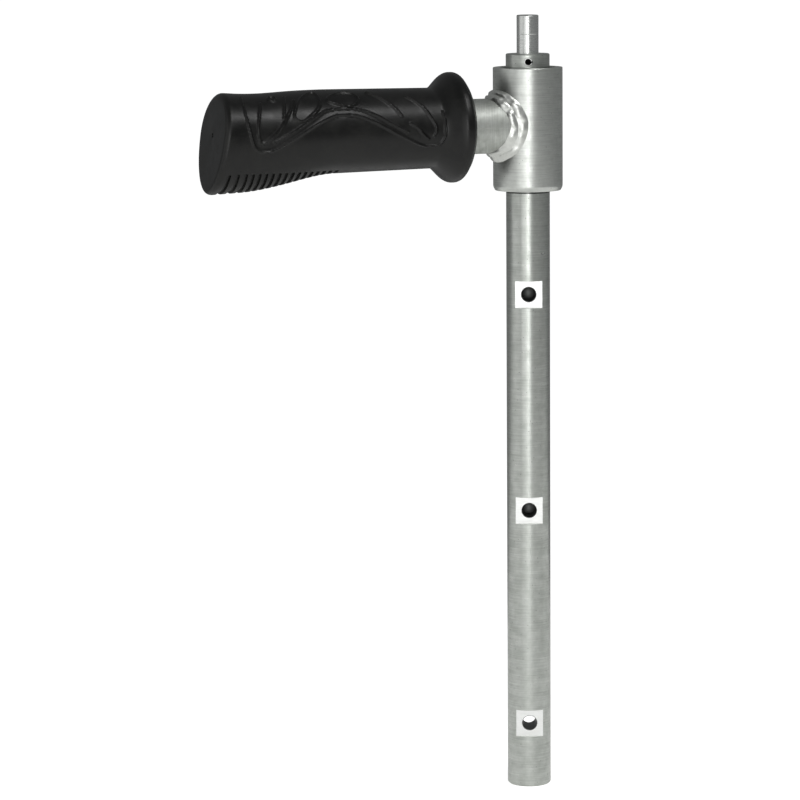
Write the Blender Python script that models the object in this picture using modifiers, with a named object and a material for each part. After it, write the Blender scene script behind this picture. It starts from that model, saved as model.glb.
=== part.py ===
"""Winch handle: a round steel arm with a swivelling side grip.

The arm stands on the world Z axis with the centre of its lower end at the origin.
The head turns on the arm. It is a welded hub sleeve and stub tube with a moulded rubber
grip pushed onto the stub. Lengths are in metres.
"""

import math

import bmesh
import bpy

MM = 0.001

# Arm: a solid round bar with three bolt holes through milled seats
ARM_RADIUS = 10.0 * MM
ARM_TOP = 339.4 * MM
ARM_CHAMFER = 0.8 * MM
HOLE_RADIUS = 3.3 * MM
HOLE_PITCH = 100.0 * MM
FIRST_HOLE = 30.0 * MM
HOLE_COUNT = 3
THROUGH_HOLES = 1
BLIND_DEPTH = 14.0 * MM
SEAT_SIDE = 12.4 * MM
SEAT_PLANE = math.sqrt(ARM_RADIUS**2 - (SEAT_SIDE / 2) ** 2)

# Drive spigot in the arm's upper end, held by a slotted spring pin
SPIGOT_RADIUS = 5.0 * MM
SPIGOT_TOP = 356.9 * MM
SPIGOT_DEPTH = 30.0 * MM
SPIGOT_CHAMFER = 0.6 * MM
PIN_HEIGHT = 335.9 * MM
PIN_RADIUS = 2.0 * MM
PIN_BORE_RADIUS = 1.5 * MM
PIN_LENGTH = 18.8 * MM
PIN_SLOT = 0.8 * MM

# Hub sleeve
HUB_RADIUS = 15.9 * MM
HUB_BOTTOM = 277.3 * MM
HUB_TOP = 333.3 * MM
HUB_BORE_RADIUS = 11.6 * MM
HUB_EDGE = 0.5 * MM
HUB_CHAMFER_RISE = 1.8 * MM
HUB_CHAMFER_INSET = 0.9 * MM
POCKET_RADIUS = 12.9 * MM
POCKET_DEPTH = 5.0 * MM

# Bearing stack at each end of the hub, from the pocket's floor outwards
BUSH_LENGTH = 18.0 * MM
BUSH_RADIUS = 11.3 * MM
BUSH_FLANGE_RADIUS = 12.5 * MM
BUSH_FLANGE = 1.5 * MM
WASHER_RADIUS = 12.3 * MM
WASHER_THICKNESS = 1.0 * MM
RING_RADIUS = 11.6 * MM
RING_THICKNESS = 1.2 * MM
RING_LUG_RADIUS = 1.5 * MM
RING_LUG_CENTRE = 11.0 * MM
RING_OPENING_ANGLE = math.radians(34)
GROOVE_RADIUS = 9.5 * MM
GROOVE_SIDE_GAP = 0.2 * MM

# Clearances
CONTACT_GAP = 0.3 * MM
PUSH_FIT = 0.1 * MM
RUNNING_FIT = 0.1 * MM

# Stub tube and the weld that joins it to the hub
STUB_HEIGHT = 307.0 * MM
STUB_RADIUS = 12.5 * MM
STUB_WALL = 2.0 * MM
STUB_START = 5.0 * MM
WELD_LEG = 4.0 * MM
WELD_SIDE_CUT = 0.45
WELD_TOE = 0.5 * MM
WELD_CROWN = 0.35 * MM

# Rubber grip, measured along the stub's axis from the hub's axis
HEAD_ANGLE = math.radians(22)
GRIP_START = 33.4 * MM
GRIP_END = 151.7 * MM
GRIP_RADIUS = 18.9 * MM
GRIP_ROOT_RADIUS = 18.2 * MM
TAPER_START = 50.0 * MM
TAPER_END = 100.0 * MM
GRIP_END_WALL = 4.4 * MM
GRIP_VENT_RADIUS = 1.0 * MM
FLANGE_RADIUS = 25.0 * MM
FLANGE_EDGE = 4.3 * MM
FLANGE_ROUND = 7.2 * MM
FLANGE_FLAT_END = 38.7 * MM
FILLET_END = 49.0 * MM
PALM_START = 95.0 * MM
PALM_END = 139.0 * MM
PALM_DROP = 7.9 * MM
NECK_CENTRE = 133.0 * MM
NECK_SPREAD = 16.0 * MM
NECK_DEPTH = 1.0 * MM
END_EDGE = 2.6 * MM
END_SLOPE = 0.15
END_SLOPE_START = 139.0 * MM

# Facets
SHAFT_FACETS = 48
HUB_FACETS = 64
HOLE_FACETS = 24
PIN_FACETS = 20
GRIP_FACETS = 40
WELD_FACETS = 48
MERGE = 0.00001


def clear_scene():
    for old in list(bpy.data.objects):
        bpy.data.objects.remove(old, do_unlink=True)


def make_collection(name):
    collection = bpy.data.collections.new(name)
    bpy.context.scene.collection.children.link(collection)
    return collection


def make_material(name, colour, metallic, roughness):
    material = bpy.data.materials.new(name)
    material.use_nodes = True
    shader = material.node_tree.nodes["Principled BSDF"]
    shader.inputs["Base Color"].default_value = (*colour, 1.0)
    shader.inputs["Metallic"].default_value = metallic
    shader.inputs["Roughness"].default_value = roughness
    return material


def zinc_plate(name):
    return make_material(name, (0.58, 0.60, 0.58), 1.0, 0.42)


def polished_steel(name):
    return make_material(name, (0.66, 0.67, 0.66), 1.0, 0.22)


def weld_metal(name):
    return make_material(name, (0.62, 0.63, 0.60), 1.0, 0.35)


def spring_steel(name):
    return make_material(name, (0.10, 0.10, 0.11), 1.0, 0.45)


def nylon(name):
    return make_material(name, (0.03, 0.03, 0.03), 0.0, 0.55)


def black_rubber(name):
    return make_material(name, (0.018, 0.018, 0.016), 0.0, 0.48)


def object_from_bmesh(shape, name, collection):
    mesh = bpy.data.meshes.new(name)
    bmesh.ops.recalc_face_normals(shape, faces=shape.faces)
    shape.to_mesh(mesh)
    shape.free()
    item = bpy.data.objects.new(name, mesh)
    collection.objects.link(item)
    return item


def smooth(item):
    item.data.shade_smooth()
    item.data.set_sharp_from_angle(angle=math.radians(35))


def turned(name, profile, facets, collection, closed=False):
    """Turn a list of (radius, height) points about Z; the list runs down the outer side."""
    shape = bmesh.new()
    points = [shape.verts.new((radius, 0.0, height)) for radius, height in profile]
    pairs = list(zip(points, points[1:]))
    if closed:
        pairs.append((points[-1], points[0]))
    for start, end in pairs:
        shape.edges.new((start, end))
    mesh = bpy.data.meshes.new(name)
    shape.to_mesh(mesh)
    shape.free()
    item = bpy.data.objects.new(name, mesh)
    collection.objects.link(item)
    screw = item.modifiers.new("Turn", "SCREW")
    screw.axis = "Z"
    screw.angle = math.tau
    screw.steps = facets
    screw.render_steps = facets
    screw.use_merge_vertices = True
    screw.merge_threshold = MERGE
    screw.use_smooth_shade = False
    return item


def cylinder(name, radius, low, high, facets, collection, along="Z"):
    """A capped cylinder from low to high along one of its own axes."""
    shape = bmesh.new()
    bmesh.ops.create_cone(
        shape,
        cap_ends=True,
        segments=facets,
        radius1=radius,
        radius2=radius,
        depth=high - low,
    )
    item = object_from_bmesh(shape, name, collection)
    middle = (low + high) / 2
    if along == "X":
        item.rotation_euler = (0.0, math.pi / 2, 0.0)
        item.location = (middle, 0.0, 0.0)
    elif along == "Y":
        item.rotation_euler = (-math.pi / 2, 0.0, 0.0)
        item.location = (0.0, middle, 0.0)
    else:
        item.location = (0.0, 0.0, middle)
    return item


def block(name, size, centre, collection):
    shape = bmesh.new()
    bmesh.ops.create_cube(shape, size=1.0)
    bmesh.ops.scale(shape, vec=size, verts=shape.verts)
    item = object_from_bmesh(shape, name, collection)
    item.location = centre
    return item


def loft(name, rings, collection, closed_loop=False):
    """Join equal rings of points with quads; the ends are capped unless the loft is a loop."""
    shape = bmesh.new()
    rows = [[shape.verts.new(point) for point in ring] for ring in rings]
    pairs = list(zip(rows, rows[1:]))
    if closed_loop:
        pairs.append((rows[-1], rows[0]))
    count = len(rows[0])
    for row, following in pairs:
        for index in range(count):
            after = (index + 1) % count
            shape.faces.new((row[index], row[after], following[after], following[index]))
    if not closed_loop:
        shape.faces.new(rows[0])
        shape.faces.new(rows[-1])
    return object_from_bmesh(shape, name, collection)


def as_cutter(item):
    item.hide_render = True
    item.display_type = "WIRE"
    return item


def boolean(item, other, operation="DIFFERENCE"):
    as_cutter(other)
    modifier = item.modifiers.new(other.name, "BOOLEAN")
    modifier.operation = operation
    modifier.solver = "EXACT"
    modifier.object = other


def dress(item, material, parent=None):
    item.data.materials.append(material)
    item.parent = parent


def ring_level(upper):
    """Lower face of the upper or lower retaining ring."""
    stack = CONTACT_GAP + BUSH_FLANGE + CONTACT_GAP + WASHER_THICKNESS + CONTACT_GAP
    if upper:
        return HUB_TOP - POCKET_DEPTH + stack
    return HUB_BOTTOM + POCKET_DEPTH - stack - RING_THICKNESS


def washer_level(upper):
    """Lower face of the upper or lower thrust washer."""
    if upper:
        return ring_level(True) - CONTACT_GAP - WASHER_THICKNESS
    return ring_level(False) + RING_THICKNESS + CONTACT_GAP


def arm_profile():
    """Outer line of the bar from the centre of its top face to the centre of its lower end."""
    points = [(0.0, ARM_TOP), (ARM_RADIUS - ARM_CHAMFER / 2, ARM_TOP)]
    points.append((ARM_RADIUS, ARM_TOP - ARM_CHAMFER / 2))
    for upper in (True, False):
        groove_low = ring_level(upper) - GROOVE_SIDE_GAP
        groove_high = ring_level(upper) + RING_THICKNESS + GROOVE_SIDE_GAP
        points.append((ARM_RADIUS, groove_high))
        points.append((GROOVE_RADIUS, groove_high))
        points.append((GROOVE_RADIUS, groove_low))
        points.append((ARM_RADIUS, groove_low))
    points.append((ARM_RADIUS, ARM_CHAMFER))
    points.append((ARM_RADIUS - ARM_CHAMFER, 0.0))
    points.append((0.0, 0.0))
    return points


def make_arm(parts, cutters):
    arm = turned("arm_bar", arm_profile(), SHAFT_FACETS, parts)
    reach = 2 * ARM_RADIUS
    for number in range(HOLE_COUNT):
        height = FIRST_HOLE + number * HOLE_PITCH
        through = number < THROUGH_HOLES
        sides = ((-1, "front"), (1, "back")) if through else ((-1, "front"),)
        for side, word in sides:
            size = (reach, reach, SEAT_SIDE)
            centre = (0.0, side * (SEAT_PLANE + reach / 2), height)
            boolean(arm, block(f"seat_{word}_{number}", size, centre, cutters))
        floor = reach if through else BLIND_DEPTH - SEAT_PLANE
        hole = cylinder(f"hole_{number}", HOLE_RADIUS, -reach, floor, HOLE_FACETS, cutters, "Y")
        hole.location.z = height
        boolean(arm, hole)
    bore_floor = ARM_TOP - SPIGOT_DEPTH - CONTACT_GAP
    bore_radius = SPIGOT_RADIUS + PUSH_FIT
    boolean(arm, cylinder("end_bore", bore_radius, bore_floor, SPIGOT_TOP, HOLE_FACETS, cutters))
    boolean(arm, make_pin_hole("arm_pin_hole", cutters))
    dress(arm, zinc_plate("arm_zinc_plate"))
    return arm


def make_pin_hole(name, cutters):
    reach = 2 * ARM_RADIUS
    hole = cylinder(name, PIN_RADIUS + PUSH_FIT, -reach, reach, HOLE_FACETS, cutters, "Y")
    hole.location.z = PIN_HEIGHT
    return hole


def make_spigot(parts, cutters):
    profile = [
        (0.0, SPIGOT_TOP),
        (SPIGOT_RADIUS - SPIGOT_CHAMFER, SPIGOT_TOP),
        (SPIGOT_RADIUS, SPIGOT_TOP - SPIGOT_CHAMFER),
        (SPIGOT_RADIUS, ARM_TOP - SPIGOT_DEPTH + SPIGOT_CHAMFER),
        (SPIGOT_RADIUS - SPIGOT_CHAMFER, ARM_TOP - SPIGOT_DEPTH),
        (0.0, ARM_TOP - SPIGOT_DEPTH),
    ]
    spigot = turned("drive_spigot", profile, HOLE_FACETS, parts)
    boolean(spigot, make_pin_hole("spigot_pin_hole", cutters))
    dress(spigot, polished_steel("spigot_polished_steel"))


def make_roll_pin(parts, cutters):
    """A spring pin rolled from strip: a thin tube with an open slot along it."""
    half = PIN_LENGTH / 2
    lead = (PIN_RADIUS - PIN_BORE_RADIUS) / 2
    profile = [
        (PIN_BORE_RADIUS, half),
        (PIN_RADIUS - lead, half),
        (PIN_RADIUS, half - lead),
        (PIN_RADIUS, lead - half),
        (PIN_RADIUS - lead, -half),
        (PIN_BORE_RADIUS, -half),
    ]
    pin = turned("spigot_spring_pin", profile, PIN_FACETS, parts, closed=True)
    pin.location = (0.0, 0.0, PIN_HEIGHT)
    pin.rotation_euler = (math.pi / 2, 0.0, 0.0)
    size = (2 * PIN_RADIUS, PIN_LENGTH + PIN_RADIUS, PIN_SLOT)
    boolean(pin, block("pin_slot", size, (PIN_RADIUS, 0.0, PIN_HEIGHT), cutters))
    dress(pin, spring_steel("pin_spring_steel"))


def make_retaining_ring(name, upper, parts, cutters):
    """An open ring with two drilled lugs, sprung into the arm's groove."""
    low = ring_level(upper)
    high = low + RING_THICKNESS
    inner = GROOVE_RADIUS + PUSH_FIT
    ring = cylinder(name, RING_RADIUS, low, high, SHAFT_FACETS, parts)
    for side in (-1, 1):
        lug = cylinder(f"{name}_lug_{side}", RING_LUG_RADIUS, low, high, PIN_FACETS, cutters)
        angle = math.pi / 2 + side * RING_OPENING_ANGLE / 2
        lug.location.x = RING_LUG_CENTRE * math.cos(angle)
        lug.location.y = RING_LUG_CENTRE * math.sin(angle)
        boolean(ring, lug, "UNION")
    clear = low - RING_THICKNESS, high + RING_THICKNESS
    boolean(ring, cylinder(f"{name}_middle", inner, *clear, SHAFT_FACETS, cutters))
    gap = 2 * (RING_LUG_CENTRE * math.sin(RING_OPENING_ANGLE / 2) - RING_LUG_RADIUS * 0.75)
    size = (gap, ARM_RADIUS, 3 * RING_THICKNESS)
    boolean(ring, block(f"{name}_opening", size, (0.0, RING_LUG_CENTRE, low), cutters))
    dress(ring, spring_steel(f"{name}_spring_steel"))


def make_thrust_washer(name, upper, parts):
    low = washer_level(upper)
    high = low + WASHER_THICKNESS
    inner = ARM_RADIUS + CONTACT_GAP
    profile = [(inner, high), (WASHER_RADIUS, high), (WASHER_RADIUS, low), (inner, low)]
    washer = turned(name, profile, SHAFT_FACETS, parts, closed=True)
    dress(washer, polished_steel(f"{name}_steel"))


def hub_profile():
    """Closed section of the sleeve, from the upper pocket's mouth down the outer side."""
    outer_top = HUB_TOP - HUB_EDGE
    chamfer_top = HUB_BOTTOM + HUB_CHAMFER_RISE
    foot_radius = HUB_RADIUS - HUB_CHAMFER_INSET
    upper_floor = HUB_TOP - POCKET_DEPTH
    lower_floor = HUB_BOTTOM + POCKET_DEPTH
    return [
        (POCKET_RADIUS, HUB_TOP),
        (HUB_RADIUS - HUB_EDGE, HUB_TOP),
        (HUB_RADIUS, outer_top),
        (HUB_RADIUS, chamfer_top),
        (foot_radius, HUB_BOTTOM),
        (POCKET_RADIUS, HUB_BOTTOM),
        (POCKET_RADIUS, lower_floor),
        (HUB_BORE_RADIUS, lower_floor),
        (HUB_BORE_RADIUS, upper_floor),
        (POCKET_RADIUS, upper_floor),
    ]


def lower_to_swivel(profile):
    """The same profile with heights measured from the swivel empty."""
    return [(radius, height - STUB_HEIGHT) for radius, height in profile]


def make_hub(parts, swivel):
    profile = lower_to_swivel(hub_profile())
    hub = turned("hub_sleeve", profile, HUB_FACETS, parts, closed=True)
    dress(hub, zinc_plate("hub_zinc_plate"), swivel)


def make_bush(name, upper, parts, swivel):
    """A thin flanged liner; its flange lies on the floor of the hub's end pocket."""
    inner = ARM_RADIUS + RUNNING_FIT
    if upper:
        step = HUB_TOP - POCKET_DEPTH + CONTACT_GAP
        high = step + BUSH_FLANGE
        low = step - BUSH_LENGTH
        profile = [
            (inner, high),
            (BUSH_FLANGE_RADIUS, high),
            (BUSH_FLANGE_RADIUS, step),
            (BUSH_RADIUS, step),
            (BUSH_RADIUS, low),
            (inner, low),
        ]
    else:
        step = HUB_BOTTOM + POCKET_DEPTH - CONTACT_GAP
        high = step + BUSH_LENGTH
        low = step - BUSH_FLANGE
        profile = [
            (inner, high),
            (BUSH_RADIUS, high),
            (BUSH_RADIUS, step),
            (BUSH_FLANGE_RADIUS, step),
            (BUSH_FLANGE_RADIUS, low),
            (inner, low),
        ]
    bush = turned(name, lower_to_swivel(profile), SHAFT_FACETS, parts, closed=True)
    dress(bush, nylon(f"{name}_nylon"), swivel)


def make_stub(parts, cutters, grip_axis):
    """A tube whose inner end is cut to the hub's curve."""
    end = GRIP_END - GRIP_END_WALL - CONTACT_GAP
    stub = cylinder("grip_stub", STUB_RADIUS, STUB_START, end, SHAFT_FACETS, parts)
    bore_radius = STUB_RADIUS - STUB_WALL
    bore = cylinder("stub_bore", bore_radius, 0.0, GRIP_END, SHAFT_FACETS, cutters)
    reach = 2 * STUB_RADIUS
    saddle_radius = HUB_RADIUS + CONTACT_GAP
    saddle = cylinder("stub_saddle", saddle_radius, -reach, reach, HUB_FACETS, cutters, "X")
    for cutter in (bore, saddle):
        cutter.parent = grip_axis
        boolean(stub, cutter)
    dress(stub, zinc_plate("stub_zinc_plate"), grip_axis)


def hub_surface(radius, angle):
    """Distance along the stub to the hub's skin, at a radius and angle about the stub."""
    return math.sqrt((HUB_RADIUS + CONTACT_GAP) ** 2 - (radius * math.sin(angle)) ** 2)


def weld_section(angle):
    """The fillet's outline (radius, distance) in the plane at this angle about the stub."""
    inner = STUB_RADIUS + CONTACT_GAP
    outer = inner + WELD_LEG * (1 - WELD_SIDE_CUT * math.sin(angle) ** 2)
    root = hub_surface(inner, angle)
    foot = hub_surface(outer, angle)
    tip = root + WELD_LEG
    crown_radius = (inner + outer) / 2 + WELD_CROWN
    crown = (foot + tip) / 2 + WELD_CROWN
    return [
        (inner, root),
        (outer, foot),
        (outer, foot + WELD_TOE),
        (crown_radius, crown),
        (inner + WELD_TOE, tip),
        (inner, tip),
    ]


def make_weld(parts, grip_axis):
    rings = []
    for index in range(WELD_FACETS):
        angle = math.tau * index / WELD_FACETS
        ring = []
        for radius, distance in weld_section(angle):
            ring.append((radius * math.cos(angle), radius * math.sin(angle), distance))
        rings.append(ring)
    weld = loft("weld_bead", rings, parts, closed_loop=True)
    dress(weld, weld_metal("weld_metal"), grip_axis)


def ease(value, low, high):
    """0 below low, 1 above high, and a smooth rise between them."""
    t = min(max((value - low) / (high - low), 0.0), 1.0)
    return t * t * (3 - 2 * t)


def grip_radius(distance):
    """Radius of the grip before the palm swell: flange, fillet, barrel and neck."""
    if distance < GRIP_START + FLANGE_EDGE:
        drop = (GRIP_START + FLANGE_EDGE - distance) / FLANGE_EDGE
        return FLANGE_RADIUS - FLANGE_ROUND * (1 - math.sqrt(max(0.0, 1 - drop**2)))
    taper = min(1.0, max(0.0, (distance - TAPER_START) / (TAPER_END - TAPER_START)))
    barrel = GRIP_ROOT_RADIUS + (GRIP_RADIUS - GRIP_ROOT_RADIUS) * taper
    if distance < FILLET_END:
        fall = ease(distance, FLANGE_FLAT_END, FILLET_END)
        return FLANGE_RADIUS + (barrel - FLANGE_RADIUS) * fall
    waist = math.exp(-(((distance - NECK_CENTRE) / NECK_SPREAD) ** 2))
    radius = barrel - NECK_DEPTH * waist
    if distance > GRIP_END - END_EDGE:
        rise = (distance - (GRIP_END - END_EDGE)) / END_EDGE
        radius -= END_EDGE * (1 - math.sqrt(max(0.0, 1 - rise**2)))
    return radius


def grip_ring(distance):
    """One section of the grip in its own frame, where +X is down and Z runs along the stub."""
    radius = grip_radius(distance)
    palm = PALM_DROP * ease(distance, PALM_START, PALM_END)
    slope = END_SLOPE * ease(distance, END_SLOPE_START, GRIP_END)
    ring = []
    for index in range(GRIP_FACETS):
        angle = math.tau * index / GRIP_FACETS
        down = radius * math.cos(angle)
        if down > 0:
            down *= (radius + palm) / radius
        ring.append((down, radius * math.sin(angle), distance + slope * down))
    return ring


def grip_stations():
    """Distances of the grip's sections: close at the edges and fillet, wide on the barrel."""
    edge = [GRIP_START + FLANGE_EDGE * (1 - math.cos(step * math.pi / 8)) for step in range(5)]
    fillet_step = (FILLET_END - FLANGE_FLAT_END) / 6
    fillet = [FLANGE_FLAT_END + fillet_step * step for step in range(7)]
    barrel_step = (PALM_START - FILLET_END) / 4
    barrel = [FILLET_END + barrel_step * step for step in range(1, 5)]
    palm_end = GRIP_END - END_EDGE
    palm_step = (palm_end - PALM_START) / 10
    palm = [PALM_START + palm_step * step for step in range(1, 11)]
    rounding = [palm_end + END_EDGE * math.sin(step * math.pi / 8) for step in range(1, 5)]
    return edge + fillet + barrel + palm + rounding


def make_grip(parts, cutters, grip_axis):
    grip = loft("rubber_grip", [grip_ring(station) for station in grip_stations()], parts)
    socket_end = GRIP_END - GRIP_END_WALL
    socket_radius = STUB_RADIUS + CONTACT_GAP
    socket = cylinder("grip_socket", socket_radius, 0.0, socket_end, SHAFT_FACETS, cutters)
    vent_low = socket_end - STUB_WALL
    vent_high = GRIP_END + FLANGE_EDGE
    vent = cylinder("grip_vent", GRIP_VENT_RADIUS, vent_low, vent_high, PIN_FACETS, cutters)
    for cutter in (socket, vent):
        cutter.parent = grip_axis
        boolean(grip, cutter)
    dress(grip, black_rubber("grip_black_rubber"), grip_axis)


def make_axes(parts):
    """The swivel empty on the arm's axis, and a child whose Z runs out along the stub."""
    swivel = bpy.data.objects.new("swivel_axis", None)
    swivel.location = (0.0, 0.0, STUB_HEIGHT)
    swivel.rotation_euler = (0.0, 0.0, math.pi + HEAD_ANGLE)
    grip_axis = bpy.data.objects.new("grip_axis", None)
    grip_axis.rotation_euler = (0.0, math.pi / 2, 0.0)
    grip_axis.parent = swivel
    for empty in (swivel, grip_axis):
        empty.empty_display_size = ARM_RADIUS
        parts.objects.link(empty)
    return swivel, grip_axis


def main():
    clear_scene()
    parts = make_collection("winch_handle")
    cutters = make_collection("cutters")
    swivel, grip_axis = make_axes(parts)
    make_arm(parts, cutters)
    make_spigot(parts, cutters)
    make_roll_pin(parts, cutters)
    for upper, word in ((True, "upper"), (False, "lower")):
        make_retaining_ring(f"{word}_retaining_ring", upper, parts, cutters)
        make_thrust_washer(f"{word}_thrust_washer", upper, parts)
        make_bush(f"{word}_bush", upper, parts, swivel)
    make_hub(parts, swivel)
    make_stub(parts, cutters, grip_axis)
    make_weld(parts, grip_axis)
    make_grip(parts, cutters, grip_axis)
    for item in parts.objects:
        if item.type == "MESH":
            smooth(item)


main()
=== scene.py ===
"""Looks of the winch handle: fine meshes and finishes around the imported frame.

The handle is a plated round bar with milled bolt seats, a turned spigot in its end, and a
head that swivels on the bar: a sleeve, a welded stub tube and a moulded rubber grip. Every
piece is made at its real size in metres and rides on the body that carries it.
"""

import logging
import math
from dataclasses import dataclass, field
from enum import Enum

import bmesh
import bpy
import numpy as np
from mathutils import Euler, Matrix, Vector
from mathutils.kdtree import KDTree


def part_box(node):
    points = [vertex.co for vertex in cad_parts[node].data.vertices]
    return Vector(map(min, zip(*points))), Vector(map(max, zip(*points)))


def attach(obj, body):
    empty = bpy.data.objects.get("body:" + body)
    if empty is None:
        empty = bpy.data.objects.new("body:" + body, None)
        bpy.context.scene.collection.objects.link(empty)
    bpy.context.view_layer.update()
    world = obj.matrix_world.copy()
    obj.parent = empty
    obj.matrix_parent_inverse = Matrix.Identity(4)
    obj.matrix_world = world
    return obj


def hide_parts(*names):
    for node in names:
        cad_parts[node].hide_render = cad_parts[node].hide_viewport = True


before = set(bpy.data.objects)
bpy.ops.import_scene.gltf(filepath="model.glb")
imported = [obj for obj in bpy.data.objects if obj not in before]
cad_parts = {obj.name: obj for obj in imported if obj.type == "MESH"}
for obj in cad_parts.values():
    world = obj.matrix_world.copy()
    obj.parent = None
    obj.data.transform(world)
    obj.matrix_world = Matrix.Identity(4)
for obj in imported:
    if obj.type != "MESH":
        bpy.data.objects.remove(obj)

MM = 0.001
SHARP_ANGLE = math.radians(32)
FINE_STEPS = 144
SMALL_STEPS = 48
MERGE = 2e-6

log = logging.getLogger("winch_handle")
Point = tuple[float, float, float]
Profile = list[tuple[float, float]]
Piece = bpy.types.Object
Material = bpy.types.Material
Tree = bpy.types.NodeTree
Node = bpy.types.Node
Socket = bpy.types.NodeSocket


class Joining(Enum):
    """How one solid is worked into another."""

    CUT = "DIFFERENCE"
    ADD = "UNION"


class Body(Enum):
    """The two rigid bodies of the handle."""

    ARM = "arm"
    HEAD = "head"


class End(Enum):
    """Which end of the hub a bearing piece sits at."""

    UPPER = "upper"
    LOWER = "lower"


# ---------------------------------------------------------------- small tools


def linear(code: str) -> tuple[float, float, float, float]:
    """Turn an sRGB hex colour into the linear colour that shaders take.

    Args:
        code: Six hex digits after a hash sign.

    Returns:
        Red, green, blue and an alpha of 1.
    """
    parts = [int(code[i : i + 2], 16) / 255 for i in (1, 3, 5)]
    low = [p / 12.92 if p <= 0.04045 else ((p + 0.055) / 1.055) ** 2.4 for p in parts]
    return (low[0], low[1], low[2], 1.0)


def set_inputs(tree: Tree, node: Node, inputs: dict) -> None:
    """Give a node's sockets their values, or link them to the sockets that feed them.

    Args:
        tree: The node tree that both are in.
        node: The node.
        inputs: Socket name or number to a value, or to the socket that feeds it.
    """
    for name, value in inputs.items():
        if isinstance(value, Socket):
            tree.links.new(value, node.inputs[name])
        else:
            node.inputs[name].default_value = value


def add_node(tree: Tree, kind: str, inputs: dict | None = None, out: int | str = 0, **settings) -> Socket:
    """Add one node with its settings, values and links.

    Args:
        tree: The node tree to add to.
        kind: The shader node's type, without its first word.
        inputs: Socket name or number to a value, or to the socket that feeds it.
        out: Name or number of the output that is wanted.
        **settings: Properties set on the node itself.

    Returns:
        That output of the new node.
    """
    made = tree.nodes.new("ShaderNode" + kind)
    for name, value in settings.items():
        setattr(made, name, value)
    set_inputs(tree, made, inputs or {})
    return made.outputs[out]


def new_material(name: str) -> tuple[Material, Tree, Node]:
    """Make a material, and give it with its node tree and its shader.

    Args:
        name: Its name.

    Returns:
        The material, its node tree and its shader.
    """
    made = bpy.data.materials.new(name)
    made.use_nodes = True
    return made, made.node_tree, made.node_tree.nodes["Principled BSDF"]


def clear_selection() -> None:
    """Leave edit mode and deselect everything, so that an operator acts on one piece."""
    if bpy.context.object and bpy.context.mode != "OBJECT":
        bpy.ops.object.mode_set(mode="OBJECT")
    bpy.ops.object.select_all(action="DESELECT")


def select_only(item: Piece) -> None:
    """Make item the one selected and active object.

    Args:
        item: The piece.
    """
    clear_selection()
    item.select_set(True)
    bpy.context.view_layer.objects.active = item


def place(item: Piece, matrix: Matrix) -> None:
    """Move item by a matrix and put that place into its mesh.

    Args:
        item: The piece.
        matrix: The move, on top of where it stands.
    """
    item.matrix_world = matrix @ item.matrix_world
    select_only(item)
    bpy.ops.object.transform_apply(location=True, rotation=True, scale=True)


def tidy_mesh(item: Piece) -> None:
    """Merge doubled points and turn every face outwards.

    Args:
        item: The piece.
    """
    select_only(item)
    bpy.ops.object.mode_set(mode="EDIT")
    bpy.ops.mesh.select_all(action="SELECT")
    bpy.ops.mesh.remove_doubles(threshold=MERGE)
    bpy.ops.mesh.normals_make_consistent(inside=False)
    bpy.ops.object.mode_set(mode="OBJECT")


def turned(name: str, profile: Profile, steps: int = FINE_STEPS, ring: bool = False) -> Piece:
    """Turn a profile about Z, by extruding a point along it and spinning the line.

    Args:
        name: The piece's name.
        profile: Points as (radius, height).
        steps: Divisions of the full turn.
        ring: True where the profile is a closed section that stays off the axis.

    Returns:
        The turned solid.
    """
    clear_selection()
    bpy.ops.mesh.primitive_plane_add(size=MM)
    item = bpy.context.object
    item.name = name
    bpy.ops.object.mode_set(mode="EDIT")
    bpy.ops.mesh.merge(type="CENTER")
    bpy.ops.transform.translate(value=(profile[0][0], 0.0, profile[0][1]))
    for before, after in zip(profile, profile[1:]):
        step = (after[0] - before[0], 0.0, after[1] - before[1])
        bpy.ops.mesh.extrude_region_move(TRANSFORM_OT_translate={"value": step})
    if ring:
        shape = bmesh.from_edit_mesh(item.data)
        ends = [v for v in shape.verts if len(v.link_edges) == 1]
        bpy.ops.mesh.select_all(action="DESELECT")
        for vert in ends:
            vert.select = True
        bmesh.update_edit_mesh(item.data)
        bpy.ops.mesh.edge_face_add()
    bpy.ops.mesh.select_all(action="SELECT")
    bpy.ops.mesh.spin(steps=steps, angle=math.tau, center=(0, 0, 0), axis=(0, 0, 1))
    bpy.ops.object.mode_set(mode="OBJECT")
    tidy_mesh(item)
    return item


def rod(radius: float, low: float, high: float, axis: str = "Z", steps: int = SMALL_STEPS) -> Piece:
    """Add a round bar along a world axis, centred on it.

    Args:
        radius: Its radius.
        low: Where it starts along the axis.
        high: Where it ends.
        axis: X, Y or Z.
        steps: Its facets.

    Returns:
        The bar.
    """
    clear_selection()
    bpy.ops.mesh.primitive_cylinder_add(vertices=steps, radius=radius, depth=high - low)
    item = bpy.context.object
    turn = {"X": Euler((0, math.pi / 2, 0)), "Y": Euler((math.pi / 2, 0, 0)), "Z": Euler()}[axis]
    middle = {"X": (1, 0, 0), "Y": (0, 1, 0), "Z": (0, 0, 1)}[axis]
    shift = Matrix.Translation(Vector(middle) * (low + high) / 2)
    place(item, shift @ turn.to_matrix().to_4x4())
    return item


def box(size: Point, centre: Point) -> Piece:
    """Add a rectangular block of a size at a place.

    Args:
        size: Its lengths along X, Y and Z.
        centre: Its centre.

    Returns:
        The block.
    """
    clear_selection()
    bpy.ops.mesh.primitive_cube_add(size=1.0, location=centre, scale=size)
    item = bpy.context.object
    place(item, Matrix.Identity(4))
    return item


def coat(item: Piece, *finishes: Material) -> None:
    """Add finishes to a piece, in the order of their numbers."""
    for finish in finishes:
        item.data.materials.append(finish)


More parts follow.
